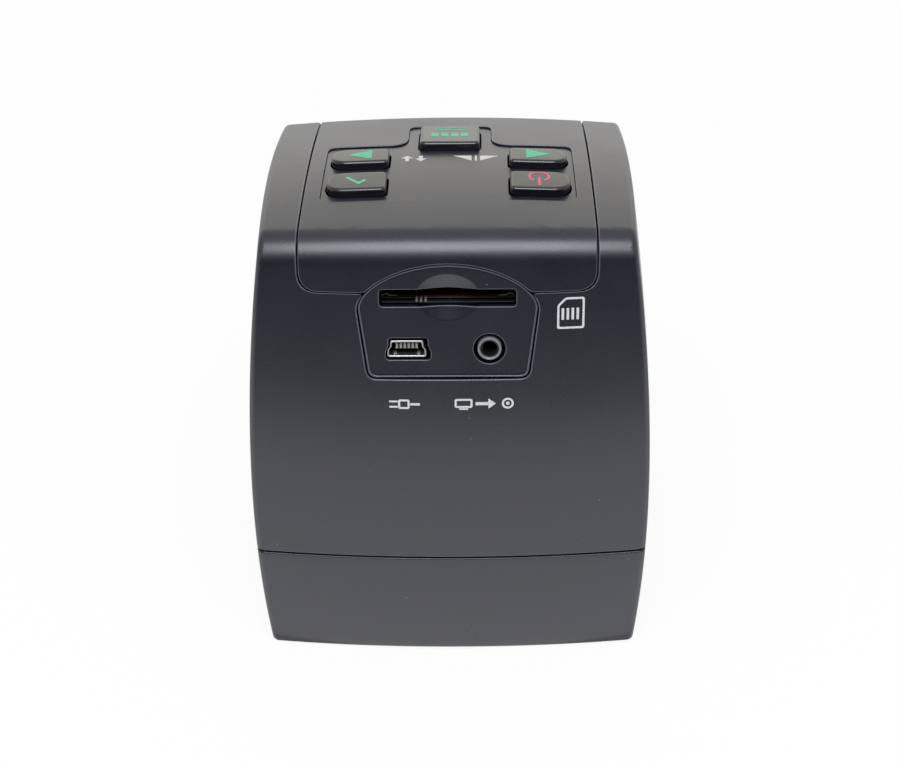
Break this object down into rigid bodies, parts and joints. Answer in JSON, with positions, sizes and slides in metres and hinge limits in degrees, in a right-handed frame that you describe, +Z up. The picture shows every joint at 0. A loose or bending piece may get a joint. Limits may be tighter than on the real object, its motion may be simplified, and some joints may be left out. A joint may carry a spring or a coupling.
{
  "type": "film negative scanner",
  "caption": "Small tabletop film scanner: a bulged box with a screen in front, keys on top, sockets at the back and a film path through its base from side to side.",
  "frame": {"origin": "on the table, under the middle of the body", "axes": "+Z up, +Y towards the back with the sockets, +X to the right seen from the front"},
  "size_m": [0.0872, 0.0862, 0.1013],
  "materials": {
    "case_black": "satin black with a fine grain",
    "key_black": "glossy black",
    "window_black": "polished black",
    "inner_black": "plain matt black",
    "socket_metal": "bright tin plate",
    "screw_steel": "zinc plated",
    "board_green": "green solder mask",
    "module_grey": "smooth grey",
    "light_white": "milky white",
    "foot_rubber": "matt black rubber"
  },
  "bodies": {
    "body": {"main_shell": "case_black", "top_panel": "case_black", "front_panel": "case_black", "port_panel": "case_black", "base_tray": "case_black", "bottom_cover": "case_black", "screen_window": "window_black", "display_module": "module_grey", "card_socket": "socket_metal", "usb_shell": "socket_metal", "usb_tongue": "inner_black", "video_jack": "inner_black", "key_board": "board_green", "main_board": "board_green", "switch_scan": "inner_black", "switch_left": "inner_black", "switch_right": "inner_black", "switch_power": "inner_black", "switch_confirm": "inner_black", "film_mask": "inner_black", "film_guide": "inner_black", "camera_frame": "inner_black", "lens_holder": "inner_black", "lens_barrel": "inner_black", "sensor_chip": "module_grey", "sensor_board": "board_green", "light_board": "board_green", "light_box": "light_white", "diffuser": "light_white", "base_screw_1": "screw_steel", "base_screw_2": "screw_steel", "base_screw_3": "screw_steel", "base_screw_4": "screw_steel", "rubber_foot_1": "foot_rubber", "rubber_foot_2": "foot_rubber", "rubber_foot_3": "foot_rubber", "rubber_foot_4": "foot_rubber"},
    "scan_key": {"key_scan": "key_black"},
    "left_key": {"key_left": "key_black"},
    "right_key": {"key_right": "key_black"},
    "power_key": {"key_power": "key_black"},
    "confirm_key": {"key_confirm": "key_black"}
  },
  "joints": [
    {"name": "scan_press", "type": "slide", "parent": "body", "child": "scan_key", "axis": [0, -0.1462, 0.9893], "range_m": [-0.0005, 0], "stiffness_N_per_m": 2000, "springref_m": 0.0002},
    {"name": "left_press", "type": "slide", "parent": "body", "child": "left_key", "axis": [-0.0346, -0.0838, 0.9959], "range_m": [-0.0005, 0], "stiffness_N_per_m": 2000, "springref_m": 0.0002},
    {"name": "right_press", "type": "slide", "parent": "body", "child": "right_key", "axis": [0.0346, -0.0838, 0.9959], "range_m": [-0.0005, 0], "stiffness_N_per_m": 2000, "springref_m": 0.0002},
    {"name": "power_press", "type": "slide", "parent": "body", "child": "power_key", "axis": [-0.0348, -0.0191, 0.9992], "range_m": [-0.0005, 0], "stiffness_N_per_m": 2000, "springref_m": 0.0002},
    {"name": "confirm_press", "type": "slide", "parent": "body", "child": "confirm_key", "axis": [0.0348, -0.0191, 0.9992], "range_m": [-0.0005, 0], "stiffness_N_per_m": 2000, "springref_m": 0.0002}
  ]
}
